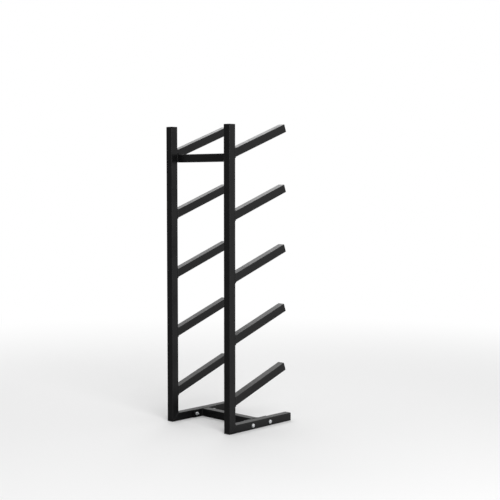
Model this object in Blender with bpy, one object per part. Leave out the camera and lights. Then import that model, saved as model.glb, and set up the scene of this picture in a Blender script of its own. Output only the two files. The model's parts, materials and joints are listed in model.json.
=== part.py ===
import math

import bmesh
import bpy
from mathutils import Vector

# Freestanding storage rack: two welded side frames with five raised arms each,
# tied by an upper crossbar and by a bolted crossbar on the floor.
# Metres, +Z up, origin at the middle of the footprint, uprights on the -Y side.

# Driving dimensions
TUBE = 0.0254              # outside width of the square tube used everywhere
WALL = 0.0012              # wall of that tube
CORNER = 0.0015            # outside corner radius of that tube
RACK_WIDTH = 0.284         # outer side to outer side of the frames
FOOT_LENGTH = 0.280        # front of the upright to the rear end of the foot
LEVELS = 5
FIRST_ARM = 0.085          # underside of the lowest arm where it leaves the upright
ARM_PITCH = 0.190          # height from one arm to the next
UPRIGHT_TOP = 0.100        # underside of the highest arm to the top of the upright's cap
ARM_LENGTH = 0.240         # along the arm, rear face of the upright to the tip
ARM_TILT = math.radians(20.0)
PLATE_LENGTH = 0.104       # end plates of the floor crossbar
PLATE_THICKNESS = 0.0032
PLATE_EDGE = 0.0004        # broken edges of those plates
BOLT_INSET = 0.013         # bolt centre from the end of the plate
BOLT = 0.006               # bolt shank diameter
BOLT_CHAMFER = 0.0008
BOLT_END = 0.006           # shank left standing past the nut
HEAD = 0.0125              # button head diameter
HEAD_HEIGHT = 0.0054
HEAD_FLAT = 0.55           # flat top of the head, as part of its diameter
HEAD_RIM = 0.2             # upright rim of the head, as part of its height
SOCKET = 0.004             # hexagon socket across flats
SOCKET_DEPTH = 0.0028
NUT = 0.010                # nut across flats
NUT_HEIGHT = 0.005
NUT_FACE = 0.96            # round end face of the nut, as part of its flats
NUT_CHAMFER = math.radians(30.0)
CAP_FLANGE = 0.002         # plug's flange over the tube end
CAP_DEPTH = 0.012          # whole length of a plug
CAP_WALL = 0.0016
CAP_ROUND = 0.0008
CAP_TAPER = 0.0003         # drawn in on each side at the plug's inner end
WELD = 0.003               # leg of the fillet welds
# rounded face of a fillet weld: distance from the joint, height, as parts of its leg
WELD_FACE = ((0.0, 1.0), (0.27, 0.85), (0.6, 0.5), (0.85, 0.2), (1.0, 0.0))
MITRE_BEAD = 0.55          # weld's height on the mitre line, as part of its leg
GAP = 0.0003               # clearance kept between touching pieces
LEAST_CORNER = 0.0003      # smallest radius of any corner that runs along a piece
DRILL_OVERRUN = 0.003      # holes are cut from this far outside a piece

# Faces in a quarter turn of a tube's corner, a bolt head's dome, and a full circle
CORNER_STEPS = 3
DOME_STEPS = 4
ROUND_STEPS = 24

# Places worked out from them
FRONT = -FOOT_LENGTH / 2
REAR_FACE = FRONT + TUBE
SIDE = RACK_WIDTH / 2 - TUBE / 2
INNER = RACK_WIDTH / 2 - TUBE
LOW = TUBE / 2             # centre height of the feet, the floor crossbar and its bolts
BORE = TUBE - 2 * WALL
BORE_CORNER = max(CORNER - WALL, LEAST_CORNER)
HOLE = BOLT + 2 * GAP
BOLT_PLACES = (BOLT_INSET - PLATE_LENGTH / 2, PLATE_LENGTH / 2 - BOLT_INSET)
MITRE_GAP = GAP / math.sqrt(2)
TOP_BAR_Z = FIRST_ARM + (LEVELS - 1) * ARM_PITCH
RACK_HEIGHT = TOP_BAR_Z + UPRIGHT_TOP
QUARTER = math.pi / 2
SHARP = math.radians(35.0)

BLACK_PAINT = ((0.022, 0.022, 0.024), 0.0, 0.42)
BLACK_PLASTIC = ((0.012, 0.012, 0.013), 0.0, 0.6)
ZINC = ((0.72, 0.72, 0.70), 1.0, 0.28)


def clear_scene():
    for item in list(bpy.data.objects):
        bpy.data.objects.remove(item, do_unlink=True)


def outline(across, deep, radius):
    # rounded rectangle as (u, v) points, counter-clockwise
    points = []
    for corner in range(4):
        turn = corner * QUARTER
        sign_u = 1 if corner in (0, 3) else -1
        sign_v = 1 if corner in (0, 1) else -1
        centre = (sign_u * (across / 2 - radius), sign_v * (deep / 2 - radius))
        for step in range(CORNER_STEPS + 1):
            angle = turn + QUARTER * step / CORNER_STEPS
            points.append((centre[0] + radius * math.cos(angle),
                           centre[1] + radius * math.sin(angle)))
    return points


def inset(across, deep, radius, amount):
    # the same rectangle drawn in on every side, its corners kept concentric
    return outline(across - 2 * amount, deep - 2 * amount, max(radius - amount, LEAST_CORNER))


def circle(radius):
    return [(radius * math.cos(2 * math.pi * i / ROUND_STEPS),
             radius * math.sin(2 * math.pi * i / ROUND_STEPS)) for i in range(ROUND_STEPS)]


def hexagon(flats):
    # hexagon with as many points as circle(), so the two can be joined
    points = []
    for i in range(ROUND_STEPS):
        angle = 2 * math.pi * i / ROUND_STEPS
        radius = flats / 2 / math.cos(angle % (math.pi / 3) - math.pi / 6)
        points.append((radius * math.cos(angle), radius * math.sin(angle)))
    return points


def level(points, height):
    return [Vector((u, v, height)) for u, v in points]


def loft(mesh, loops, ring=False):
    # skin through loops of equal length, closed by end faces or back on itself
    rows = [[mesh.verts.new(point) for point in loop] for loop in loops]
    pairs = list(zip(rows, rows[1:]))
    if ring:
        pairs.append((rows[-1], rows[0]))
    else:
        mesh.faces.new(rows[0])
        mesh.faces.new(rows[-1])
    for low, high in pairs:
        for i in range(len(low)):
            j = (i + 1) % len(low)
            mesh.faces.new((low[i], low[j], high[j], high[i]))


def place(name, mesh, location, rotation, finish):
    bmesh.ops.recalc_face_normals(mesh, faces=mesh.faces)
    data = bpy.data.meshes.new(name)
    mesh.to_mesh(data)
    mesh.free()
    data.shade_smooth()
    data.set_sharp_from_angle(angle=SHARP)
    thing = bpy.data.objects.new(name, data)
    thing.location = location
    thing.rotation_euler = rotation
    bpy.context.collection.objects.link(thing)
    colour, metallic, roughness = finish
    material = bpy.data.materials.new(name + "_finish")
    material.use_nodes = True
    shader = material.node_tree.nodes["Principled BSDF"]
    shader.inputs["Base Color"].default_value = (*colour, 1.0)
    shader.inputs["Metallic"].default_value = metallic
    shader.inputs["Roughness"].default_value = roughness
    material.diffuse_color = (*colour, 1.0)
    data.materials.append(material)
    return thing


def tube(name, stations, location, rotation):
    # square tube along local Z; a station is (height, slope, low growth, high growth):
    # the cut at that height leans with v, the growths widen the -v and +v sides
    def cut(points, station, grown):
        height, slope, low, high = station
        loop = []
        for u, v in points:
            if grown:
                v += high if v > 0 else -low
            loop.append(Vector((u, v, height + slope * v)))
        return loop

    outer = outline(TUBE, TUBE, CORNER)
    inner = outline(BORE, BORE, BORE_CORNER)
    loops = [cut(outer, station, True) for station in stations]
    loops += [cut(inner, stations[-1], False), cut(inner, stations[0], False)]
    mesh = bmesh.new()
    loft(mesh, loops, ring=True)
    return place(name, mesh, location, rotation, BLACK_PAINT)


def drill(target, name, thickness, location):
    # bolt hole along X through a piece of that thickness
    reach = thickness / 2 + DRILL_OVERRUN
    mesh = bmesh.new()
    loft(mesh, [level(circle(HOLE / 2), -reach), level(circle(HOLE / 2), reach)])
    cutter = place(name, mesh, location, (0.0, QUARTER, 0.0), BLACK_PAINT)
    cutter.hide_render = True
    cutter.display_type = "WIRE"
    cut = target.modifiers.new(name, "BOOLEAN")
    cut.operation = "DIFFERENCE"
    cut.solver = "EXACT"
    cut.object = cutter


def side_frames():
    # upright and foot meet in a mitre; the weld in the inside corner is halved by it
    bead = MITRE_BEAD * WELD
    cap_seat = GAP + CAP_FLANGE
    for side, x in (("left", -SIDE), ("right", SIDE)):
        tube("upright_" + side,
             [(TUBE / 2 + MITRE_GAP, 1.0, 0.0, bead),
              (TUBE + WELD, 0.0, 0.0, 0.0),
              (RACK_HEIGHT - cap_seat, 0.0, 0.0, 0.0)],
             (x, FRONT + TUBE / 2, 0.0), (0.0, 0.0, 0.0))
        foot = tube("foot_" + side,
                    [(TUBE / 2 + MITRE_GAP, -1.0, bead, 0.0),
                     (TUBE + WELD, 0.0, 0.0, 0.0),
                     (FOOT_LENGTH - cap_seat, 0.0, 0.0, 0.0)],
                    (x, FRONT, LOW), (-QUARTER, 0.0, 0.0))
        for number, y in enumerate(BOLT_PLACES, 1):
            drill(foot, "hole_foot_%s_%d" % (side, number), TUBE, (x, y, LOW))


def arm_height(number):
    # height of the arm's centre line at the rear face of the upright
    return FIRST_ARM + (number - 1) * ARM_PITCH + TUBE / 2 / math.cos(ARM_TILT)


def arms():
    lean = -math.tan(ARM_TILT)
    stations = [(GAP / math.cos(ARM_TILT) + WELD * along, lean, WELD * rise, WELD * rise)
                for along, rise in WELD_FACE]
    stations.append((ARM_LENGTH - GAP - CAP_FLANGE, 0.0, 0.0, 0.0))
    for side, x in (("left", -SIDE), ("right", SIDE)):
        for number in range(1, LEVELS + 1):
            tube("arm_%s_%d" % (side, number), stations,
                 (x, REAR_FACE, arm_height(number)), (ARM_TILT - QUARTER, 0.0, 0.0))


def welded_bar(name, length, low, high, location):
    # crossbar along X with fillet welds at both ends, on its -Y and +Y sides
    start = [(WELD * along - length / 2, 0.0, low * rise, high * rise)
             for along, rise in WELD_FACE]
    end = [(-height, slope, down, up) for height, slope, down, up in reversed(start)]
    tube(name, start + end, location, (0.0, QUARTER, 0.0))


def crossbars():
    welded_bar("crossbar_top", 2 * (INNER - GAP), WELD, 0.0,
               (0.0, REAR_FACE + TUBE / 2, TOP_BAR_Z))
    welded_bar("crossbar_base", 2 * (INNER - PLATE_THICKNESS - 2 * GAP), WELD, WELD,
               (0.0, 0.0, LOW))


def end_plates():
    face = inset(TUBE, PLATE_LENGTH, CORNER, PLATE_EDGE)
    rim = outline(TUBE, PLATE_LENGTH, CORNER)
    half = PLATE_THICKNESS / 2
    for side, sign in (("left", -1), ("right", 1)):
        x = sign * (INNER - GAP - half)
        mesh = bmesh.new()
        loft(mesh, [level(face, -half), level(rim, PLATE_EDGE - half),
                    level(rim, half - PLATE_EDGE), level(face, half)])
        plate = place("end_plate_" + side, mesh, (x, 0.0, LOW), (0.0, QUARTER, 0.0),
                      BLACK_PAINT)
        for number, y in enumerate(BOLT_PLACES, 1):
            drill(plate, "hole_plate_%s_%d" % (side, number), PLATE_THICKNESS, (x, y, LOW))


def cap(name, location, rotation):
    # plastic plug: rounded flange over the tube end, hollow stub inside the tube
    soft = CAP_ROUND * (1 - math.cos(QUARTER / 2))
    side = outline(TUBE, TUBE, CORNER)
    eased = inset(TUBE, TUBE, CORNER, soft)
    top = inset(TUBE, TUBE, CORNER, CAP_ROUND)
    stub_side = inset(BORE, BORE, BORE_CORNER, GAP)
    lead_in = inset(BORE, BORE, BORE_CORNER, GAP + CAP_TAPER)
    hollow_side = inset(BORE, BORE, BORE_CORNER, GAP + CAP_WALL)
    mesh = bmesh.new()
    loft(mesh, [level(top, 0.0), level(eased, -soft), level(side, -CAP_ROUND),
                level(side, -CAP_FLANGE), level(stub_side, -CAP_FLANGE),
                level(stub_side, -CAP_DEPTH + CAP_WALL), level(lead_in, -CAP_DEPTH),
                level(hollow_side, -CAP_DEPTH), level(hollow_side, -CAP_FLANGE)])
    place(name, mesh, location, rotation, BLACK_PLASTIC)


def caps():
    reach = Vector((0.0, ARM_LENGTH * math.cos(ARM_TILT), ARM_LENGTH * math.sin(ARM_TILT)))
    for side, x in (("left", -SIDE), ("right", SIDE)):
        cap("cap_upright_" + side, (x, FRONT + TUBE / 2, RACK_HEIGHT), (0.0, 0.0, 0.0))
        cap("cap_foot_" + side, (x, FRONT + FOOT_LENGTH, LOW), (-QUARTER, 0.0, 0.0))
        for number in range(1, LEVELS + 1):
            root = Vector((x, REAR_FACE, arm_height(number)))
            cap("cap_arm_%s_%d" % (side, number), root + reach, (ARM_TILT - QUARTER, 0.0, 0.0))


def bolt_loops(length):
    # button head bolt pointing along -Z, underside of the head at 0
    flat = HEAD_FLAT * HEAD / 2
    rim = HEAD_RIM * HEAD_HEIGHT
    socket = hexagon(SOCKET)
    loops = [level(socket, HEAD_HEIGHT - SOCKET_DEPTH), level(socket, HEAD_HEIGHT)]
    for step in range(DOME_STEPS + 1):
        angle = QUARTER * step / DOME_STEPS
        loops.append(level(circle(flat + (HEAD / 2 - flat) * math.sin(angle)),
                           rim + (HEAD_HEIGHT - rim) * math.cos(angle)))
    loops += [level(circle(HEAD / 2), 0.0), level(circle(BOLT / 2), 0.0),
              level(circle(BOLT / 2), BOLT_CHAMFER - length),
              level(circle(BOLT / 2 - BOLT_CHAMFER), -length)]
    return loops


def nut_loops():
    # hexagon nut with both rims chamfered to a circle
    rim = NUT_FACE * NUT / 2
    bore = circle(HOLE / 2)
    low, high = [], []
    for u, v in hexagon(NUT):
        drop = (math.hypot(u, v) - rim) * math.tan(NUT_CHAMFER)
        low.append(Vector((u, v, drop)))
        high.append(Vector((u, v, NUT_HEIGHT - drop)))
    return [level(bore, 0.0), level(circle(rim), 0.0), low, high,
            level(circle(rim), NUT_HEIGHT), level(bore, NUT_HEIGHT)]


def fasteners():
    # four bolts from the outer sides of the feet, each with its nut on the end plate
    grip = TUBE + GAP + PLATE_THICKNESS
    length = GAP + grip + GAP + NUT_HEIGHT + BOLT_END
    for side, sign in (("left", -1), ("right", 1)):
        head_seat = sign * (RACK_WIDTH / 2 + GAP)
        nut_seat = sign * (RACK_WIDTH / 2 - grip - GAP)
        for number, y in enumerate(BOLT_PLACES, 1):
            bolt, nut = bmesh.new(), bmesh.new()
            loft(bolt, bolt_loops(length))
            loft(nut, nut_loops(), ring=True)
            label = "%s_%d" % (side, number)
            place("bolt_" + label, bolt, (head_seat, y, LOW),
                  (0.0, sign * QUARTER, 0.0), ZINC)
            place("nut_" + label, nut, (nut_seat, y, LOW),
                  (0.0, -sign * QUARTER, 0.0), ZINC)


clear_scene()
side_frames()
arms()
crossbars()
end_plates()
caps()
fasteners()
bpy.context.view_layer.update()
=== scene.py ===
import json
import math
import random

import bmesh
import bpy
from mathutils import Matrix, Vector


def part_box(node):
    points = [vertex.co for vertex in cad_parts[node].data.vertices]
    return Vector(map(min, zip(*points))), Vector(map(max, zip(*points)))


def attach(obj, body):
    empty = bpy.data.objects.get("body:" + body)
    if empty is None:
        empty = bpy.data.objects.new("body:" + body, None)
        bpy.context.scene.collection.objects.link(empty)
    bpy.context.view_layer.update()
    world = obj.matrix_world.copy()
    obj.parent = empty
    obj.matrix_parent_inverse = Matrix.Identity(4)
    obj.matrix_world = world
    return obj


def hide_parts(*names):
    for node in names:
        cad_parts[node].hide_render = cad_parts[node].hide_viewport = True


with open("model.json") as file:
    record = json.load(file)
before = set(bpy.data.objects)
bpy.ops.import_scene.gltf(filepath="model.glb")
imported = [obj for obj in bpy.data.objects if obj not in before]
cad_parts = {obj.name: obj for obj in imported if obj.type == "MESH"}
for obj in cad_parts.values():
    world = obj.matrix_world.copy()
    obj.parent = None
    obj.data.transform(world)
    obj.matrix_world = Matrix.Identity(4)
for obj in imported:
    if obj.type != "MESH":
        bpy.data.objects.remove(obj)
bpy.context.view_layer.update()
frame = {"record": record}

# Black welded rack of square tube: mitred side frames with raised arms, two crossbars,
# bolted end plates, plastic plugs in the tube ends. All lengths are metres.
sides = ("left", "right")
levels = range(1, 6)
quarter = math.pi / 2        # a quarter turn
samePlace = 0.00001          # points nearer than this count as one
overcut = 0.0001             # how far a cutting tool stands out of what it cuts
facing = 0.99                # cosine above which a face counts as square to an axis

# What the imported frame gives: the tube's width and the planes that the welds lie on
uprightLow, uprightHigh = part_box("upright_left")
tubeWidth = uprightHigh.x - uprightLow.x
frontFace = uprightLow.y
rearFace = frontFace + tubeWidth
innerSide = -uprightHigh.x
mounts = {mount["name"]: mount for mount in frame["record"]["mounts"]}


def clearSelection():
    if bpy.context.mode != "OBJECT":
        bpy.ops.object.mode_set(mode="OBJECT")
    bpy.ops.object.select_all(action="DESELECT")


def workOn(piece):
    clearSelection()
    piece.select_set(True)
    bpy.context.view_layer.objects.active = piece


def edit(piece, kind):
    workOn(piece)
    bpy.ops.object.mode_set(mode="EDIT")
    bpy.ops.mesh.select_mode(type=kind)


def pick(piece, kind, wanted):
    # in edit mode, selects the "FACE" or "EDGE" parts for which wanted(part) holds
    bpy.ops.mesh.select_mode(type=kind)
    bpy.ops.mesh.select_all(action="DESELECT")
    mesh = bmesh.from_edit_mesh(piece.data)
    for part in (mesh.faces if kind == "FACE" else mesh.edges):
        if wanted(part):
            part.select_set(True)
    bmesh.update_edit_mesh(piece.data)


def pickFacing(piece, axis, ways=(-1.0, 1.0)):
    # the faces that look along the axis, one way or both
    pick(piece, "FACE", lambda face: any(face.normal[axis] * way > facing for way in ways))


def pickAlong(piece, axis, length):
    # the edges that run along the axis for more than half of this length
    pick(piece, "EDGE", lambda edge: abs(edge.verts[0].co[axis] - edge.verts[1].co[axis]) > length / 2)


def pullOut(rise):
    bpy.ops.mesh.extrude_region_move(TRANSFORM_OT_translate={"value": (0.0, 0.0, rise)})


def turnOutwards(merged=0.000001):
    bpy.ops.mesh.select_all(action="SELECT")
    bpy.ops.mesh.remove_doubles(threshold=merged)
    bpy.ops.mesh.normals_make_consistent(inside=False)
    bpy.ops.object.mode_set(mode="OBJECT")


def addBlock(name, low, high):
    clearSelection()
    bpy.ops.mesh.primitive_cube_add(size=1.0, location=(low + high) / 2)
    block = bpy.context.object
    block.name = name
    block.scale = high - low
    bpy.ops.object.transform_apply(location=True, rotation=True, scale=True)
    return block


def addRound(name, radius, low, high, corners):
    clearSelection()
    bpy.ops.mesh.primitive_cylinder_add(vertices=corners, radius=radius, depth=high - low,
                                        location=(0.0, 0.0, (low + high) / 2))
    rod = bpy.context.object
    rod.name = name
    bpy.ops.object.transform_apply(location=True, rotation=True, scale=True)
    return rod


def addBall(segments, rings):
    clearSelection()
    bpy.ops.mesh.primitive_uv_sphere_add(segments=segments, ring_count=rings, radius=1.0)
    return bpy.context.object


def applyModifier(piece, kind, **values):
    workOn(piece)
    step = piece.modifiers.new(kind.lower(), kind)
    for name, value in values.items():
        setattr(step, name, value)
    bpy.ops.object.modifier_apply(modifier=step.name)


def carve(piece, tool, how="DIFFERENCE"):
    # cuts the tool out of the piece, joins it on, or keeps what both share; the tool is used up
    applyModifier(piece, "BOOLEAN", operation=how, solver="EXACT", object=tool)
    bpy.data.objects.remove(tool)


def smoothBy(piece, degrees):
    workOn(piece)
    bpy.ops.object.shade_smooth_by_angle(angle=math.radians(degrees))


def copyTo(piece, name, move):
    # a copy with a mesh of its own, its place in the mesh
    twin = piece.copy()
    twin.data = piece.data.copy()
    twin.name = name
    twin.data.name = name
    twin.data.transform(move)
    bpy.context.scene.collection.objects.link(twin)
    return twin


def finishPiece(piece, finish, slotName, *nodes):
    piece.data.materials.clear()
    piece.data.materials.append(finish)
    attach(piece, "root")
    if nodes:
        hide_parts(*nodes)


def middleOf(node):
    low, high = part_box(node)
    return (low + high) / 2


# Finishes. A noise is given as features per metre, detail and roughness, a relief as its
# depth and strength, and a span as what part of a noise is used and what it becomes.

noiseSpan = (0.3, 0.7)       # where most of a noise's values lie

powderCoat = {
    "black": (0.0034, 0.0034, 0.0036),
    "blackWorn": (0.0054, 0.0054, 0.0056),
    "edge": (0.024, 0.024, 0.025),       # lighter corners: paint drawn thin there, and a painted highlight along them
    "edgeShare": 0.55,
    "edgePolish": 0.05,                  # taken from the roughness there
    # lighter on faces that look up: partly real dust, partly painted light on the tops
    "dustAndTopLight": (0.034, 0.033, 0.031),
    "dustAndTopLightFacing": (0.55, 0.98),          # how far a face looks up to hold none or all of the dust and painted top light
    "dustMatt": 0.12,                    # added to the roughness there
    "specular": 0.20,
    "rough": (0.24, 0.36),
    "roughMix": (0.6, 0.4),              # shares of the clouds and the flecks
    "cloud": (22.0, 4.0, 0.6),
    "fleck": (260.0, 3.0, 0.6),
    "fleckSpan": (0.38, 0.66, 0.25, 1.0),
    "dustAndTopLightCloud": (75.0, 5.0, 0.65),
    "dustAndTopLightSpan": (0.35, 0.75, 0.0, 0.5),
    "peel": (620.0, 2.0, 0.45),
    "peelRelief": (0.00007, 0.8),
    "grain": (2400.0, 1.0, 0.5),
    "grainRelief": (0.000016, 0.7),
}


def newMaterial(name, base, metallic, roughness, specular):
    made = bpy.data.materials.new(name)
    made.use_nodes = True
    shader = made.node_tree.nodes["Principled BSDF"]
    shader.inputs["Base Color"].default_value = (*base, 1.0)
    shader.inputs["Metallic"].default_value = metallic
    shader.inputs["Roughness"].default_value = roughness
    shader.inputs["Specular IOR Level"].default_value = specular
    return made, shader


def addNode(made, kind, **values):
    node = made.node_tree.nodes.new("ShaderNode" + kind)
    for name, value in values.items():
        setattr(node, name, value)
    return node


def join(made, source, target):
    made.node_tree.links.new(source, target)


def noise(made, place, size, detail, roughness):
    node = addNode(made, "TexNoise")
    node.inputs["Scale"].default_value = size
    node.inputs["Detail"].default_value = detail
    node.inputs["Roughness"].default_value = roughness
    join(made, place, node.inputs["Vector"])
    return node.outputs["Fac"]


def span(made, source, low, high, first=0.0, last=1.0, smooth=False):
    node = addNode(made, "MapRange", interpolation_type="SMOOTHSTEP" if smooth else "LINEAR")
    for socket, value in zip(("From Min", "From Max", "To Min", "To Max"), (low, high, first, last)):
        node.inputs[socket].default_value = value
    join(made, source, node.inputs["Value"])
    return node.outputs["Result"]


def maths(made, how, first, second):
    node = addNode(made, "Math", operation=how)
    for socket, value in enumerate((first, second)):
        if isinstance(value, float):
            node.inputs[socket].default_value = value
        else:
            join(made, value, node.inputs[socket])
    return node.outputs["Value"]


def blendColour(made, amount, first, second):
    node = addNode(made, "Mix", data_type="RGBA")
    join(made, amount, node.inputs["Factor"])
    for socket, value in ((6, first), (7, second)):
        if isinstance(value, tuple):
            node.inputs[socket].default_value = (*value, 1.0)
        else:
            join(made, value, node.inputs[socket])
    return node.outputs[2]


def relief(made, height, depth, strength, under=None):
    node = addNode(made, "Bump")
    node.inputs["Strength"].default_value = strength
    node.inputs["Distance"].default_value = depth
    join(made, height, node.inputs["Height"])
    if under:
        join(made, under, node.inputs["Normal"])
    return node.outputs["Normal"]


def makePowderCoat():
    values = powderCoat
    coat, shader = newMaterial("blackPowderCoat", values["black"], 0.0, values["rough"][1],
                               values["specular"])
    place = addNode(coat, "TexCoord").outputs["Object"]
    cloud = noise(coat, place, *values["cloud"])
    fleck = noise(coat, place, *values["fleck"])
    # paint drawn thin on the tube's corners and a painted highlight along them, broken up by the flecks
    corner = addNode(coat, "Attribute", attribute_name="corner").outputs["Fac"]
    thinPaintAndHighlight = maths(coat, "MULTIPLY", corner, span(coat, fleck, *values["fleckSpan"]))
    # dust that settles on faces which look up, and with it painted light that makes the tops lighter
    up = addNode(coat, "SeparateXYZ")
    join(coat, addNode(coat, "NewGeometry").outputs["Normal"], up.inputs["Vector"])
    level = span(coat, up.outputs["Z"], *values["dustAndTopLightFacing"], smooth=True)
    dustAndTopLightCloud = span(coat, noise(coat, place, *values["dustAndTopLightCloud"]), *values["dustAndTopLightSpan"])
    dustAndTopLightMask = maths(coat, "MULTIPLY", level, dustAndTopLightCloud)
    tone = blendColour(coat, span(coat, cloud, *noiseSpan), values["black"], values["blackWorn"])
    tone = blendColour(coat, maths(coat, "MULTIPLY", thinPaintAndHighlight, values["edgeShare"]), tone, values["edge"])
    tone = blendColour(coat, dustAndTopLightMask, tone, values["dustAndTopLight"])
    join(coat, tone, shader.inputs["Base Color"])
    shares = [maths(coat, "MULTIPLY", source, share)
              for source, share in zip((cloud, fleck), values["roughMix"])]
    rough = span(coat, maths(coat, "ADD", *shares), *noiseSpan, *values["rough"])
    rough = maths(coat, "SUBTRACT", rough, maths(coat, "MULTIPLY", thinPaintAndHighlight, values["edgePolish"]))
    rough = maths(coat, "ADD", rough, maths(coat, "MULTIPLY", dustAndTopLightMask, values["dustMatt"]))
    join(coat, rough, shader.inputs["Roughness"])
    skin = relief(coat, noise(coat, place, *values["peel"]), *values["peelRelief"])
    grain = noise(coat, place, *values["grain"])
    join(coat, relief(coat, grain, *values["grainRelief"], skin), shader.inputs["Normal"])
    return coat


plugPlastic = {
    "black": (0.0095, 0.0095, 0.0100),
    "scuff": (0.030, 0.030, 0.031),
    "specular": 0.30,
    "rough": (0.48, 0.62),
    "cloud": (120.0, 3.0, 0.6),
    "scuffing": (900.0, 4.0, 0.7),
    "scuffSpan": (0.6, 0.75, 0.0, 0.5),
    "grain": (3300.0, 2.0, 0.6),
    "grainRelief": (0.00003, 0.8),
}


def makePlugPlastic():
    values = plugPlastic
    plastic, shader = newMaterial("plugPlastic", values["black"], 0.0, values["rough"][0],
                                  values["specular"])
    place = addNode(plastic, "TexCoord").outputs["Object"]
    scuffed = span(plastic, noise(plastic, place, *values["scuffing"]), *values["scuffSpan"])
    join(plastic, blendColour(plastic, scuffed, values["black"], values["scuff"]),
         shader.inputs["Base Color"])
    cloud = noise(plastic, place, *values["cloud"])
    join(plastic, span(plastic, cloud, *noiseSpan, *values["rough"]), shader.inputs["Roughness"])
    grain = noise(plastic, place, *values["grain"])
    join(plastic, relief(plastic, grain, *values["grainRelief"]), shader.inputs["Normal"])
    return plastic


zincPlate = {
    "bolt": {"bright": (0.70, 0.71, 0.72), "dull": (0.52, 0.53, 0.55), "rough": (0.40, 0.54)},
    # painted light: the nut's zinc is the bolt's zinc drawn lighter, standing in for light that its
    # sheltered place beside the foot does not get
    "nut": {"bright": (0.88, 0.885, 0.89), "dull": (0.78, 0.785, 0.80), "rough": (0.58, 0.70)},
    "specular": 0.5,
    "cloud": (420.0, 4.0, 0.6),
    "cloudSpan": (0.35, 0.68),
    "turnSize": 0.00022,                 # pitch of the fine turned lines
    "turnRelief": (0.000006, 0.5),
    "grain": (5200.0, 2.0, 0.6),
    "grainRelief": (0.000006, 0.6),
}


def makeZincPlate(kind):
    values = zincPlate[kind]
    zinc, shader = newMaterial(kind + "Zinc", values["bright"], 1.0, values["rough"][0],
                               zincPlate["specular"])
    place = addNode(zinc, "TexCoord").outputs["Object"]
    cloud = noise(zinc, place, *zincPlate["cloud"])
    tone = blendColour(zinc, span(zinc, cloud, *zincPlate["cloudSpan"]), values["bright"], values["dull"])
    join(zinc, tone, shader.inputs["Base Color"])
    join(zinc, span(zinc, cloud, *noiseSpan, *values["rough"]), shader.inputs["Roughness"])
    # turned lines run round the fastener's own axis, whose distance each point carries
    reach = addNode(zinc, "Attribute", attribute_name="reach").outputs["Fac"]
    turns = maths(zinc, "MULTIPLY", reach, 2 * math.pi / zincPlate["turnSize"])
    skin = relief(zinc, maths(zinc, "SINE", turns, 0.0), *zincPlate["turnRelief"])
    grain = noise(zinc, place, *zincPlate["grain"])
    join(zinc, relief(zinc, grain, *zincPlate["grainRelief"], skin), shader.inputs["Normal"])
    return zinc


coat = makePowderCoat()
plastic = makePlugPlastic()
boltZinc = makeZincPlate("bolt")
nutZincPaintedLight = makeZincPlate("nut")
print("finishes made")


# Square tube

tubeShape = {
    "corner": 0.0015,
    "cornerFaces": 6,
    "wall": 0.0012,
    "cornerFade": 0.0012,    # how far the thin paint and painted highlight of a corner run onto the flats
    "smooth": 32,            # degrees between faces up to which they are shaded as one
}


def markCorners(tube, axis):
    # the points of the four rounded corners carry 1, all others 0
    middle = sum((Vector(corner) for corner in tube.bound_box), Vector()) / 8
    flat = tubeWidth / 2 - tubeShape["corner"] - overcut
    marks = tube.data.attributes.new("corner", "FLOAT", "POINT")
    for point, mark in zip(tube.data.vertices, marks.data):
        off = [abs(point.co[i] - middle[i]) for i in range(3) if i != axis]
        mark.value = 1.0 if min(off) > flat else 0.0


def squareTube(name, low, high, axis):
    # block with rounded long edges, its two ends inset by the wall and joined through
    tube = addBlock(name, low, high)
    edit(tube, "EDGE")
    pickAlong(tube, axis, (high - low)[axis])
    bpy.ops.mesh.bevel(offset=tubeShape["corner"], segments=tubeShape["cornerFaces"], affect="EDGES")
    pickFacing(tube, axis)
    bpy.ops.mesh.inset(thickness=tubeShape["wall"])
    bpy.ops.mesh.bridge_edge_loops()
    # an edge loop beside each corner, where the thin paint and its painted highlight end
    middle = (low + high) / 2
    reach = tubeWidth / 2 - tubeShape["corner"] - tubeShape["cornerFade"]
    for across in range(3):
        if across != axis:
            for side in (-reach, reach):
                plane = Vector((0.0, 0.0, 0.0))
                plane[across] = 1.0
                bpy.ops.mesh.select_all(action="SELECT")
                bpy.ops.mesh.bisect(plane_co=middle + plane * side, plane_no=plane)
    turnOutwards()
    markCorners(tube, axis)
    return tube


def cutEnd(tube, through, outward):
    # cuts the tube along a plane, drops what lies outward of it and closes the wall's cut
    edit(tube, "EDGE")
    bpy.ops.mesh.select_all(action="SELECT")
    bpy.ops.mesh.bisect(plane_co=through, plane_no=outward, clear_outer=True)
    bpy.ops.mesh.bridge_edge_loops()
    turnOutwards()


def finishTube(tube, node):
    smoothBy(tube, tubeShape["smooth"])
    finishPiece(tube, coat, "black_powder_coat", node)


frameShape = {
    "gap": 0.0003,           # what touching pieces keep clear
    "boltHole": 0.0033,      # radius of the holes for the bolts
    "holeFaces": 32,
}


def drillHoles(piece, side, node, length):
    # through the piece, on the lines of this side's two bolts
    for number in (1, 2):
        middle = middleOf("bolt_%s_%d" % (side, number))
        middle.x = middleOf(node).x
        tool = addRound("holeTool", frameShape["boltHole"], -length / 2, length / 2,
                        frameShape["holeFaces"])
        tool.data.transform(Matrix.Translation(middle) @ Matrix.Rotation(quarter, 4, "Y"))
        carve(piece, tool)


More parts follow.
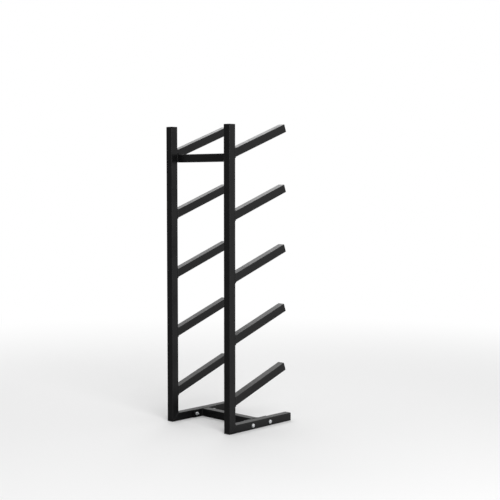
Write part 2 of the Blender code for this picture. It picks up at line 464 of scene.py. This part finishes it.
def makeSideFrames():
    # the mitre runs from the outer corner on the floor up to the inner corner
    heel = Vector((0.0, frontFace, 0.0))
    mitre = Vector((0.0, 1.0, -1.0)).normalized()
    halfGap = mitre * frameShape["gap"] / 2
    for side in sides:
        low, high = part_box("upright_" + side)
        upright = squareTube("uprightTube_" + side, Vector((low.x, frontFace, 0.0)),
                             Vector((high.x, rearFace, high.z)), 2)
        cutEnd(upright, heel - halfGap, mitre)
        finishTube(upright, "upright_" + side)
        low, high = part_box("foot_" + side)
        foot = squareTube("footTube_" + side, Vector((low.x, frontFace, 0.0)),
                          Vector((high.x, high.y, tubeWidth)), 1)
        cutEnd(foot, heel + halfGap, -mitre)
        drillHoles(foot, side, "foot_" + side, 2 * tubeWidth)
        finishTube(foot, "foot_" + side)


def armAxis(name):
    # where the arm's centre line leaves the rear of the upright, and which way it runs
    mount = mounts[name + "_top"]
    face = Vector(mount["axis"]).normalized()
    along = Vector((0.0, face.z, -face.y))
    point = Vector(mount["pos_m"]) - face * tubeWidth / 2
    root = point - along * (point.y - rearFace) / along.y
    return root, along, face


def armReach(node, root, along, face):
    # from the root along the arm to where the node's square end lies
    return (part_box(node)[1].y - root.y + face.y * tubeWidth / 2) / along.y


def armNames(*chosen):
    return ["arm_%s_%d" % (side, level) for side in chosen for level in levels]


def copyToArm(model, name, newStart):
    # a copy of what was modelled on the first left arm, moved to another arm
    if name == "arm_left_1":
        return model
    move = armAxis(name)[0] - armAxis("arm_left_1")[0]
    return copyTo(model, name.replace("arm_", newStart), Matrix.Translation(move))


def makeArms():
    root, along, face = armAxis("arm_left_1")
    length = armReach("arm_left_1", root, along, face)
    half = Vector((tubeWidth / 2, 0.0, tubeWidth / 2))
    arm = squareTube("armTube_left_1", -half - Vector((0.0, tubeWidth, 0.0)),
                     half + Vector((0.0, length, 0.0)), 1)
    tilt = math.atan2(along.z, along.y)
    arm.data.transform(Matrix.Translation(root) @ Matrix.Rotation(tilt, 4, "X"))
    cutEnd(arm, Vector((0.0, rearFace + frameShape["gap"], 0.0)), Vector((0.0, -1.0, 0.0)))
    smoothBy(arm, tubeShape["smooth"])
    # all copies are made before any is finished
    tubes = {name: copyToArm(arm, name, "armTube_") for name in armNames(*sides)}
    for name, tube in tubes.items():
        finishPiece(tube, coat, "black_powder_coat", name)


def makeCrossbars():
    for name, near in (("crossbar_top", rearFace), ("crossbar_base", -tubeWidth / 2)):
        low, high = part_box(name)
        bar = squareTube(name.replace("crossbar_", "crossbarTube_"), Vector((low.x, near, low.z)),
                         Vector((high.x, near + tubeWidth, high.z)), 0)
        finishTube(bar, name)


plateShape = {
    "corner": 0.0015,
    "cornerFaces": 5,
    "softEdge": 0.0004,
    "softFaces": 2,
    "softAngle": 60,         # degrees from which an edge is softened
    "smooth": 40,
}


def makeEndPlates():
    for side in sides:
        low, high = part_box("end_plate_" + side)
        plate = addBlock("endPlate_" + side, low, high)
        edit(plate, "EDGE")
        pickAlong(plate, 0, high.x - low.x)
        bpy.ops.mesh.bevel(offset=plateShape["corner"], segments=plateShape["cornerFaces"],
                           affect="EDGES")
        turnOutwards()
        drillHoles(plate, side, "end_plate_" + side, tubeWidth)
        applyModifier(plate, "BEVEL", width=plateShape["softEdge"], segments=plateShape["softFaces"],
                      limit_method="ANGLE", angle_limit=math.radians(plateShape["softAngle"]))
        smoothBy(plate, plateShape["smooth"])
        finishPiece(plate, coat, "black_powder_coat", "end_plate_" + side)


makeSideFrames()
makeArms()
makeCrossbars()
makeEndPlates()
print("tubes and plates made")


# Plastic plugs in the open tube ends

plugShape = {
    "flange": 0.002,
    "softEdge": 0.0008,      # round the top
    "softFaces": 4,
    "underEdge": 0.0004,     # round the underside, which shows as a parting line
    "underFaces": 2,
    "length": 0.012,
    "stubGap": 0.0015,       # from the tube's outside to the stub's side
    "stubWall": 0.0016,
    "stubMerge": 0.0002,     # joins the points that crowd at the stub's corners
    "gateRadius": 0.0016,    # moulding mark in the middle of the top
    "gateDepth": 0.00025,
    "gateFaces": (32, 16),
    "smooth": 40,
}


def modelPlug():
    # top face at z = 0, stub pointing down
    half = tubeWidth / 2
    flange = plugShape["flange"]
    plug = addBlock("plugModel", Vector((-half, -half, -flange)), Vector((half, half, 0.0)))
    edit(plug, "EDGE")
    pickAlong(plug, 2, flange)
    bpy.ops.mesh.bevel(offset=tubeShape["corner"], segments=tubeShape["cornerFaces"], affect="EDGES")
    pick(plug, "EDGE", lambda edge: min(vertex.co.z for vertex in edge.verts) > -samePlace)
    bpy.ops.mesh.bevel(offset=plugShape["softEdge"], segments=plugShape["softFaces"], affect="EDGES")
    pick(plug, "EDGE", lambda edge: max(vertex.co.z for vertex in edge.verts) < samePlace - flange)
    bpy.ops.mesh.bevel(offset=plugShape["underEdge"], segments=plugShape["underFaces"], affect="EDGES")
    pickFacing(plug, 2, (-1.0,))
    bpy.ops.mesh.inset(thickness=plugShape["stubGap"] - plugShape["underEdge"])
    bpy.ops.mesh.remove_doubles(threshold=plugShape["stubMerge"])
    pullOut(flange - plugShape["length"])
    bpy.ops.mesh.inset(thickness=plugShape["stubWall"])
    pullOut(plugShape["length"] - flange)
    turnOutwards()
    gate = addBall(*plugShape["gateFaces"])
    gate.scale = (plugShape["gateRadius"], plugShape["gateRadius"], plugShape["gateDepth"])
    bpy.ops.object.transform_apply(location=True, rotation=True, scale=True)
    carve(plug, gate)
    smoothBy(plug, plugShape["smooth"])
    return plug


def plugPlaces():
    # for each tube end, the turn and move that take the model there
    places = {}
    for side in sides:
        top = middleOf("cap_upright_" + side)
        top.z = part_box("cap_upright_" + side)[1].z
        places["upright_" + side] = Matrix.Translation(top)
        end = middleOf("cap_foot_" + side)
        end.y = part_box("cap_foot_" + side)[1].y
        places["foot_" + side] = Matrix.Translation(end) @ Matrix.Rotation(-quarter, 4, "X")
        for name in armNames(side):
            root, along, face = armAxis(name)
            tip = root + along * armReach("cap_" + name, root, along, face)
            turn = Matrix.Rotation(math.atan2(along.z, along.y) - quarter, 4, "X")
            places[name] = Matrix.Translation(tip) @ turn
    return places


def makePlugs():
    model = modelPlug()
    for name, place in plugPlaces().items():
        finishPiece(copyTo(model, "plug_" + name, place), plastic, "end_cap_plastic", "cap_" + name)
    bpy.data.objects.remove(model)


makePlugs()
print("plugs made")


# Bolts and nuts

fastener = {
    "shank": 0.003,          # radius
    "crest": 0.00297,        # radius over the thread
    "root": 0.00245,         # radius at the bottom of the thread
    "pitch": 0.001,
    "threaded": 0.018,       # length of thread from the bolt's end
    "threadLap": 0.0002,     # how far the thread runs into the plain shank
    "threadFaces": 32,       # faces to a turn
    "endChamfer": 0.0007,
    "head": 0.00625,         # radius
    "headHeight": 0.0054,
    "headRim": 0.0011,
    "headTop": 0.0034,       # radius of the flat top
    "headSteps": 8,
    "socket": 0.002,         # half across flats
    "socketDepth": 0.0028,
    "nut": 0.005,            # half across flats
    "nutHeight": 0.005,
    "nutFace": 0.0048,       # radius of the round faces
    "nutChamfer": 30,        # degrees
    "nutBore": 0.0031,
    "nutSoftEdge": 0.0002,
    "nutSoftFaces": 2,
    "nutSoftAngle": 50,      # degrees from which an edge is softened
    "through": 0.001,        # how far the tools for bore and socket stand out
    "roundFaces": 72,        # a multiple of six, so that all the nut's corners are cut alike
    "merged": 0.000002,      # points left closer than this by a cut become one
    "boltSmooth": 30,
    "nutSmooth": 25,
    "boltSpins": (4.0, 21.0),    # degrees that the first and second of each side are turned
    "nutSpins": (24.0, 47.0),
}


def finishTurned(piece, smooth):
    edit(piece, "EDGE")
    turnOutwards(fastener["merged"])
    # each point carries its distance from the fastener's axis, which is still z
    marks = piece.data.attributes.new("reach", "FLOAT", "POINT")
    for point, mark in zip(piece.data.vertices, marks.data):
        mark.value = math.hypot(point.co.x, point.co.y)
    smoothBy(piece, smooth)


def threadedRod(low, high):
    # one thread tooth, drawn on a plane's edge and wound round z by a Screw modifier
    pitch = fastener["pitch"]
    clearSelection()
    bpy.ops.mesh.primitive_plane_add(size=pitch)
    rod = bpy.context.object
    edit(rod, "EDGE")
    pick(rod, "EDGE", lambda edge: max(vertex.co.y for vertex in edge.verts) < 0.0)
    bpy.ops.mesh.select_all(action="INVERT")
    bpy.ops.mesh.delete(type="EDGE")
    bpy.ops.mesh.select_all(action="SELECT")
    bpy.ops.mesh.subdivide(number_cuts=3)
    mesh = bmesh.from_edit_mesh(rod.data)
    for point in mesh.verts:
        height = point.co.x
        tooth = fastener["crest"] if abs(height) < pitch / 3 else fastener["root"]
        point.co = (tooth, 0.0, low - pitch + height)
    bmesh.update_edit_mesh(rod.data)
    bpy.ops.object.mode_set(mode="OBJECT")
    turns = math.ceil((high - low) / pitch) + 3
    applyModifier(rod, "SCREW", axis="Z", angle=2 * math.pi, screw_offset=pitch, iterations=turns,
                  steps=fastener["threadFaces"], render_steps=fastener["threadFaces"],
                  use_merge_vertices=True, merge_threshold=samePlace)
    edit(rod, "EDGE")
    for height, outward in ((low, -1.0), (high, 1.0)):
        bpy.ops.mesh.select_all(action="SELECT")
        bpy.ops.mesh.bisect(plane_co=(0.0, 0.0, height), plane_no=(0.0, 0.0, outward),
                            clear_outer=True, use_fill=True)
    turnOutwards()
    return rod


def boltTip(length):
    # what cuts the thread's end to a chamfer
    tip = addRound("tipTool", fastener["shank"] + overcut, -length, 0.0, fastener["roundFaces"])
    edit(tip, "EDGE")
    pick(tip, "EDGE", lambda edge: max(vertex.co.z for vertex in edge.verts) < samePlace - length)
    bpy.ops.mesh.bevel(offset=fastener["endChamfer"], segments=1, affect="EDGES")
    turnOutwards()
    return tip


def modelBolt(length):
    # underside of the head at z = 0, shank pointing down
    height = fastener["headHeight"]
    bolt = addRound("boltModel", fastener["head"], 0.0, height, fastener["roundFaces"])
    rise = height - fastener["headRim"]
    spread = fastener["head"] - fastener["headTop"]
    edit(bolt, "FACE")
    pickFacing(bolt, 2, (1.0,))
    bpy.ops.transform.translate(value=(0.0, 0.0, -rise))
    for step in range(fastener["headSteps"]):
        before, after = (quarter * i / fastener["headSteps"] for i in (step, step + 1))
        bpy.ops.mesh.inset(thickness=spread * (math.cos(before) - math.cos(after)),
                           depth=rise * (math.sin(after) - math.sin(before)))
    pickFacing(bolt, 2, (-1.0,))
    bpy.ops.mesh.inset(thickness=fastener["head"] - fastener["shank"])
    pullOut(fastener["threaded"] - length)
    turnOutwards()
    thread = threadedRod(-length, fastener["threaded"] - length + fastener["threadLap"])
    carve(thread, boltTip(length), "INTERSECT")
    carve(bolt, thread, "UNION")
    carve(bolt, addRound("socketTool", fastener["socket"] / math.cos(math.pi / 6),
                         height - fastener["socketDepth"], height + fastener["through"], 6))
    finishTurned(bolt, fastener["boltSmooth"])
    return bolt


def modelNut():
    # seat at z = 0; a hexagon whose corners are turned off to a cone at both ends
    height = fastener["nutHeight"]
    corner = fastener["nut"] / math.cos(math.pi / 6)
    drop = (corner - fastener["nutFace"]) * math.tan(math.radians(fastener["nutChamfer"]))
    nut = addRound("nutModel", corner, 0.0, height, 6)
    turned = addRound("turnedTool", corner + overcut, 0.0, height, fastener["roundFaces"])
    turned.data.transform(Matrix.Rotation(math.pi / fastener["roundFaces"], 4, "Z"))
    edit(turned, "FACE")
    pickFacing(turned, 2)
    bpy.ops.mesh.inset(thickness=corner + overcut - fastener["nutFace"])
    mesh = bmesh.from_edit_mesh(turned.data)
    for point in mesh.verts:
        if math.hypot(point.co.x, point.co.y) > corner:
            point.co.z += drop if point.co.z < height / 2 else -drop
    bmesh.update_edit_mesh(turned.data)
    turnOutwards()
    carve(nut, turned, "INTERSECT")
    carve(nut, addRound("boreTool", fastener["nutBore"], -fastener["through"],
                        height + fastener["through"], fastener["roundFaces"]))
    applyModifier(nut, "BEVEL", width=fastener["nutSoftEdge"], segments=fastener["nutSoftFaces"],
                  limit_method="ANGLE", angle_limit=math.radians(fastener["nutSoftAngle"]))
    finishTurned(nut, fastener["nutSmooth"])
    return nut


def placeOn(node, outward, sunk, way, spin):
    # on the node's outer end or sunk below it, the model's z axis turned to x or -x by its way
    low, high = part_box(node)
    seat = (low + high) / 2
    seat.x = (high.x if outward > 0 else low.x) - outward * sunk
    turn = Matrix.Rotation(way * quarter, 4, "Y") @ Matrix.Rotation(math.radians(spin), 4, "Z")
    return Matrix.Translation(seat) @ turn


def makeFasteners():
    low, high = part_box("bolt_left_1")
    bolt = modelBolt(high.x - low.x - fastener["headHeight"])
    nut = modelNut()
    for side, outward in zip(sides, (-1.0, 1.0)):
        for number, boltSpin, nutSpin in zip((1, 2), fastener["boltSpins"], fastener["nutSpins"]):
            label = "%s_%d" % (side, number)
            node = "bolt_" + label
            place = placeOn(node, outward, fastener["headHeight"], outward, boltSpin)
            finishPiece(copyTo(bolt, "headBolt_" + label, place), boltZinc, "zinc_fastener", node)
            node = "nut_" + label
            place = placeOn(node, outward, 0.0, -outward, nutSpin)
            finishPiece(copyTo(nut, "hexNut_" + label, place), nutZincPaintedLight, "zinc_fastener", node)
    bpy.data.objects.remove(bolt)
    bpy.data.objects.remove(nut)


makeFasteners()
print("bolts and nuts made")


# Weld beads

weld = {
    "leg": 0.0031,           # reach of a fillet bead on both faces
    "seamWidth": 0.0024,     # half width of a flush seam's bead
    "seamRise": 0.00085,
    "plateSeam": 0.8,        # share of that width on the end plates
    "pitch": 0.0016,         # from one ripple to the next
    "ripple": 0.0015,        # half length of a ripple along the run
    "waver": 0.07,           # how much the ripples differ
    "lean": 0.40,
    "rippleFaces": (16, 10),     # segments and rings of the ball behind a ripple
    "grain": 0.00032,        # size of the voxels that fuse the ripples
    "soften": (0.5, 2),      # how strongly and how often the fused bead is smoothed
    "mitreStop": 0.0005,     # how far the mitre's seam stops short of the inner corner
    "floorStart": 0.004,     # height at which the floor crossbar's fillets start
    "seeds": {"arm": 3, "corner": 11, "mitre": 17, "topFront": 23, "topUpper": 29,
              "baseSide": 31, "baseTop": 37},
}


def ballAt(ball, centre, along, out, reach, rise, chance):
    # one ripple: a ball pressed flat along the run, leaning back as the puddle froze
    cross = along.cross(out).normalized()
    scale = 1.0 + weld["waver"] * chance.uniform(-1.0, 1.0)
    leant = (along + out * weld["lean"]).normalized()
    frameAxes = Matrix((leant, cross, out)).transposed().to_4x4()
    sizes = Matrix.Diagonal((weld["ripple"], reach * scale, rise * scale, 1.0))
    return copyTo(ball, "ripple", Matrix.Translation(centre) @ frameAxes @ sizes)


def weldRun(name, steps, kind):
    # steps are (centre, along, out, reach, rise), one for each ripple
    chance = random.Random(weld["seeds"][kind])
    ball = addBall(*weld["rippleFaces"])
    ripples = [ballAt(ball, *step, chance) for step in steps]
    bpy.data.objects.remove(ball)
    clearSelection()
    for ripple in ripples:
        ripple.select_set(True)
    bpy.context.view_layer.objects.active = ripples[0]
    bpy.ops.object.join()
    bead = bpy.context.object
    bead.name = name
    strength, rounds = weld["soften"]
    applyModifier(bead, "REMESH", mode="VOXEL", voxel_size=weld["grain"], use_smooth_shade=True)
    applyModifier(bead, "SMOOTH", factor=strength, iterations=rounds)
    workOn(bead)
    bpy.ops.object.shade_smooth()
    return bead


def straightSteps(start, end, out, reach, rise):
    count = max(2, round((end - start).length / weld["pitch"]))
    along = (end - start).normalized()
    return [(start.lerp(end, i / count), along, out, reach, rise) for i in range(count + 1)]


def makeBead(name, kind, start, end, out, reach=weld["leg"], rise=weld["leg"]):
    # a straight bead, a fillet unless reach and rise say otherwise
    steps = straightSteps(Vector(start), Vector(end), Vector(out).normalized(), reach, rise)
    finishPiece(weldRun(name, steps, kind), coat, "black_powder_coat")


def armRootSteps(name):
    # round the arm's end on the upright's rear face: fillets above and below, seams at the sides
    root, along, face = armAxis(name)
    centre = root.copy()
    centre.y = rearFace
    corner = tubeShape["corner"]
    halfWide = tubeWidth / 2
    halfHigh = tubeWidth / 2 / along.y
    straightHigh, straightWide = 2 * (halfHigh - corner), 2 * (halfWide - corner)
    arc = quarter * corner
    stretches = (straightHigh, arc, straightWide, arc, straightHigh, arc, straightWide, arc)
    whole = sum(stretches)
    count = round(whole / weld["pitch"])
    steps = []
    for i in range(count):
        travelled = whole * i / count
        number = 0
        while travelled > stretches[number]:
            travelled -= stretches[number]
            number += 1
        share = travelled / stretches[number]
        upright = number // 2 % 2 == 0
        wide, high = (halfWide, halfHigh) if upright else (halfHigh, halfWide)
        if number % 2 == 0:
            angle = 0.0
            spot = Vector((wide, 0.0, (high - corner) * (2 * share - 1)))
        else:
            angle = quarter * share
            spot = Vector((wide - corner + corner * math.cos(angle), 0.0,
                           high - corner + corner * math.sin(angle)))
        spin = Matrix.Rotation(-quarter * (number // 2), 3, "Y")
        out = spin @ Vector((math.cos(angle), 0.0, math.sin(angle)))
        forward = spin @ Vector((-math.sin(angle), 0.0, math.cos(angle)))
        fillet = abs(out.z)
        reach = weld["seamWidth"] + (weld["leg"] - weld["seamWidth"]) * fillet
        rise = weld["seamRise"] + (weld["leg"] - weld["seamRise"]) * fillet ** 2
        steps.append((centre + spin @ spot, forward, out, reach, rise))
    return steps


def makeArmBeads():
    bead = weldRun("armBead_left_1", armRootSteps("arm_left_1"), "arm")
    for name in armNames(*sides):
        finishPiece(copyToArm(bead, name, "armBead_"), coat, "black_powder_coat")


def makeFootBeads(side, outward):
    # inside corner of upright and foot, and flush seams along the mitre on both side faces
    middle = outward * (innerSide + tubeWidth / 2)
    inset = tubeWidth / 2 - tubeShape["corner"]
    makeBead("cornerBead_" + side, "corner", (middle - inset, rearFace, tubeWidth),
             (middle + inset, rearFace, tubeWidth), (0.0, 1.0, 1.0))
    for face, label in ((-outward, "inner"), (outward, "outer")):
        plane = middle + face * tubeWidth / 2
        makeBead("mitreSeam_%s_%s" % (label, side), "mitre",
                 (plane, frontFace + weld["leg"], weld["leg"]),
                 (plane, rearFace - weld["mitreStop"], tubeWidth - weld["mitreStop"]),
                 (face, 0.0, 0.0), weld["seamWidth"], weld["seamRise"])


def makeTopBarBeads(side, outward):
    # a fillet on the upright's side and one under the arm's side
    low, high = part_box("crossbar_top")
    corner = tubeShape["corner"]
    joint = outward * innerSide
    makeBead("topBarBead_front_" + side, "topFront", (joint, rearFace, low.z + corner),
             (joint, rearFace, high.z - corner), (-outward, -1.0, 0.0))
    makeBead("topBarBead_upper_" + side, "topUpper", (joint, rearFace + 2 * corner, high.z),
             (joint, rearFace + tubeWidth - corner, high.z), (-outward, 0.0, 1.0))


def makeBaseBarBeads(side, outward):
    # fillets on both sides of the floor crossbar's end and a flush seam on top
    low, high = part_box("end_plate_" + side)
    joint = low.x if outward > 0 else high.x
    inset = tubeWidth / 2 - tubeShape["corner"]
    for near, label in ((-1.0, "front"), (1.0, "rear")):
        makeBead("baseBarBead_%s_%s" % (label, side), "baseSide",
                 (joint, near * tubeWidth / 2, weld["floorStart"]),
                 (joint, near * tubeWidth / 2, tubeWidth - tubeShape["corner"]), (-outward, near, 0.0))
    makeBead("baseBarSeam_" + side, "baseTop", (joint, -inset, tubeWidth), (joint, inset, tubeWidth),
             (0.0, 0.0, 1.0), weld["seamWidth"] * weld["plateSeam"], weld["seamRise"])


makeArmBeads()
for side, outward in zip(sides, (-1.0, 1.0)):
    makeFootBeads(side, outward)
    makeTopBarBeads(side, outward)
    makeBaseBarBeads(side, outward)
print("welds made")


# Studio

studio = {
    "cameraPlace": (2.4267, -2.4325, 0.7713),    # fitted to the edges in the photograph
    "cameraTurn": 43.811,                # degrees round the vertical
    "cameraTilt": -3.637,                # degrees below level
    "lens": 77.36,                       # millimetres, as is the sensor's width
    "sensor": 36.0,
    "floorSize": 60.0,
    "floorDrop": 0.0002,
    "floorColour": (0.90, 0.90, 0.90),
    "floorRough": 0.85,
    "skyLight": 0.60,
    "backdropSide": (0.62, 0.76, 0.20),  # where gloss sees the white backdrop
    "backdropTurn": (-0.45, 0.55),       # cosines between which it falls off
    "darkRoom": 0.28,                    # what gloss sees on the other side
    "fade": (0.9, 2.8),                  # the floor turns to white between these distances
}


def makeCamera():
    data = bpy.data.cameras.new("photoCamera")
    data.sensor_width = studio["sensor"]
    data.lens = studio["lens"]
    camera = bpy.data.objects.new("photoCamera", data)
    camera.location = studio["cameraPlace"]
    camera.rotation_euler = (math.radians(90 + studio["cameraTilt"]), 0.0,
                             math.radians(studio["cameraTurn"]))
    bpy.context.scene.collection.objects.link(camera)
    bpy.context.scene.camera = camera


def backdropLight(made, place):
    # the backdrop is white to the camera; gloss and glass see it fall off on the camera's side
    rays = addNode(made, "LightPath")
    camera = rays.outputs["Is Camera Ray"]
    gloss = maths(made, "MAXIMUM", rays.outputs["Is Glossy Ray"], rays.outputs["Is Transmission Ray"])
    way = addNode(made, "VectorMath", operation="NORMALIZE")
    join(made, place, way.inputs[0])
    side = addNode(made, "VectorMath", operation="DOT_PRODUCT")
    side.inputs[1].default_value = studio["backdropSide"]
    join(made, way.outputs["Vector"], side.inputs[0])
    lit = span(made, side.outputs["Value"], *studio["backdropTurn"], studio["darkRoom"], 1.0, smooth=True)
    return camera, gloss, lit


def makeWorld():
    world = bpy.data.worlds.new("studioWorld")
    bpy.context.scene.world = world
    world.use_nodes = True
    world.node_tree.nodes.clear()
    camera, gloss, lit = backdropLight(world, addNode(world, "TexCoord").outputs["Generated"])
    sky, backdrop = addNode(world, "Background"), addNode(world, "Background")
    for sheet in (sky, backdrop):
        sheet.inputs["Color"].default_value = (1.0, 1.0, 1.0, 1.0)
    sky.inputs["Strength"].default_value = studio["skyLight"]
    join(world, maths(world, "MAXIMUM", camera, lit), backdrop.inputs["Strength"])
    mix = addNode(world, "MixShader")
    join(world, maths(world, "MAXIMUM", camera, gloss), mix.inputs[0])
    join(world, sky.outputs[0], mix.inputs[1])
    join(world, backdrop.outputs[0], mix.inputs[2])
    join(world, mix.outputs[0], addNode(world, "OutputWorld").inputs["Surface"])


def makeFloor():
    clearSelection()
    bpy.ops.mesh.primitive_plane_add(size=studio["floorSize"], location=(0.0, 0.0, -studio["floorDrop"]))
    floor = bpy.context.object
    floor.name = "studioFloor"
    paint, shader = newMaterial("floorPaint", studio["floorColour"], 0.0, studio["floorRough"], 0.0)
    place = addNode(paint, "TexCoord").outputs["Object"]
    far = addNode(paint, "VectorMath", operation="LENGTH")
    join(paint, place, far.inputs[0])
    fade = span(paint, far.outputs["Value"], *studio["fade"], smooth=True)
    # gloss sees the floor dimmed as the backdrop is, and far out the floor turns into the backdrop
    camera, gloss, lit = backdropLight(paint, place)
    dim = maths(paint, "MULTIPLY", gloss, maths(paint, "SUBTRACT", 1.0, lit))
    dimmed = blendColour(paint, dim, studio["floorColour"], (0.0, 0.0, 0.0))
    join(paint, dimmed, shader.inputs["Base Color"])
    white = addNode(paint, "Emission")
    join(paint, maths(paint, "MAXIMUM", camera, lit), white.inputs["Strength"])
    mix = addNode(paint, "MixShader")
    join(paint, maths(paint, "MULTIPLY", fade, maths(paint, "MAXIMUM", camera, gloss)), mix.inputs[0])
    join(paint, shader.outputs[0], mix.inputs[1])
    join(paint, white.outputs[0], mix.inputs[2])
    join(paint, mix.outputs[0], paint.node_tree.nodes["Material Output"].inputs["Surface"])
    floor.data.materials.append(paint)


lamps = {
    "keyLamp": {"place": (3.2, -1.6, 2.2), "size": 2.2, "watts": 84.0},
    "fillLamp": {"place": (-1.9, 1.2, 2.8), "size": 2.2, "watts": 30.0},
}
lampTarget = (0.0, 0.0, 0.45)


def makeLamps():
    for name, values in lamps.items():
        data = bpy.data.lights.new(name, "AREA")
        data.shape = "SQUARE"
        data.size = values["size"]
        data.energy = values["watts"]
        lamp = bpy.data.objects.new(name, data)
        lamp.location = values["place"]
        lamp.rotation_euler = (Vector(lampTarget) - lamp.location).to_track_quat("-Z", "Y").to_euler()
        bpy.context.scene.collection.objects.link(lamp)


makeCamera()
makeWorld()
makeFloor()
makeLamps()
bpy.context.scene.view_settings.view_transform = "Standard"
print("studio made")

clearSelection()
